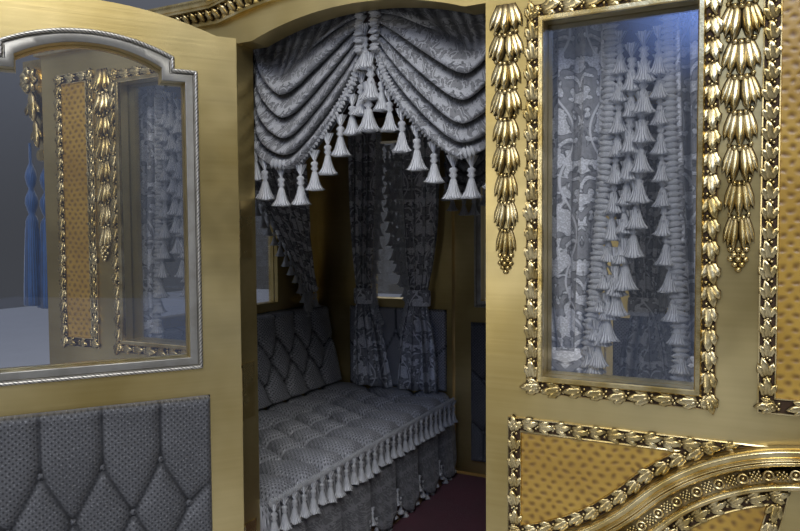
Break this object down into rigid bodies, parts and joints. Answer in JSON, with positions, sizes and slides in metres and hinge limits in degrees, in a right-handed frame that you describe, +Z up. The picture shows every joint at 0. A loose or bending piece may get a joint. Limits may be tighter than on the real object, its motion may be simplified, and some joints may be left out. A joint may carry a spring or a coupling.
{
  "type": "state coach body",
  "caption": "Gilded horse-drawn coach body off its running gear, with glazed quarters, hinged doors, facing buttoned seats, swagged hangings and carved mouldings.",
  "frame": {"origin": "centre of the underside, on the floor frame's lower face", "axes": "+X along the body, to the right as seen from the near side; near side faces -Y; +Z up"},
  "size_m": [2.164, 1.9577, 1.753],
  "materials": {
    "satin_gold": "satin gilding over sanded wood",
    "carved_gold": "burnished gold leaf with dark recesses",
    "yellow_lacquer": "amber yellow lacquer with rows of small brown dimples",
    "floor_boards": "plain oiled boards",
    "burgundy_carpet": "short cut pile",
    "roof_leather": "lacquered hide stretched over boards",
    "clear_glass": "clear plate",
    "blue_silk": "twisted silk thread",
    "silver_brocade": "woven silver-grey brocade, buttoned",
    "grey_damask": "silk damask with a leafy weave",
    "black_iron": "forged and painted black",
    "silvered_brass": "silver plate on brass, satin",
    "lacquered_brass": "polished and lacquered"
  },
  "bodies": {
    "coach_body": {"body_loops": "black_iron", "carpet": "burgundy_carpet", "consoles": "carved_gold", "corner_tassels": "blue_silk", "cornice": "carved_gold", "curtains": "grey_damask", "end_glass": "clear_glass", "end_wall_left": "satin_gold", "end_wall_right": "satin_gold", "floor_frame": "floor_boards", "garlands": "carved_gold", "header_far": "satin_gold", "header_near": "satin_gold", "hinge_pins": "lacquered_brass", "panel_frames": "carved_gold", "quarter_far_left": "satin_gold", "quarter_far_right": "satin_gold", "quarter_glass": "clear_glass", "quarter_near_left": "satin_gold", "quarter_near_right": "satin_gold", "roof": "roof_leather", "s_mouldings": "carved_gold", "seat_back_left": "silver_brocade", "seat_back_right": "silver_brocade", "seat_box_left": "floor_boards", "seat_box_right": "floor_boards", "seat_cushion_left": "silver_brocade", "seat_cushion_right": "silver_brocade", "seat_skirts": "silver_brocade", "side_pads": "silver_brocade", "sills": "satin_gold", "valance_far": "grey_damask", "valance_near": "grey_damask", "window_frames": "carved_gold", "yellow_panels": "yellow_lacquer"},
    "near_door": {"door_near_carving": "carved_gold", "door_near_frame": "satin_gold", "door_near_glass": "clear_glass", "door_near_handle": "lacquered_brass", "door_near_hinges": "lacquered_brass", "door_near_pad": "silver_brocade", "door_near_panel": "yellow_lacquer", "door_near_sash": "silvered_brass"},
    "far_door": {"door_far_carving": "carved_gold", "door_far_frame": "satin_gold", "door_far_glass": "clear_glass", "door_far_handle": "lacquered_brass", "door_far_hinges": "lacquered_brass", "door_far_pad": "silver_brocade", "door_far_panel": "yellow_lacquer", "door_far_sash": "silvered_brass"}
  },
  "joints": [
    {"name": "near_door_hinge", "type": "hinge", "parent": "coach_body", "child": "near_door", "pos_m": [-0.306, -0.702, 0.678], "axis": [0, 0, -1], "range_deg": [-127, 8]},
    {"name": "far_door_hinge", "type": "hinge", "parent": "coach_body", "child": "far_door", "pos_m": [0.306, 0.702, 0.678], "axis": [0, 0, -1], "range_deg": [0, 135]}
  ]
}
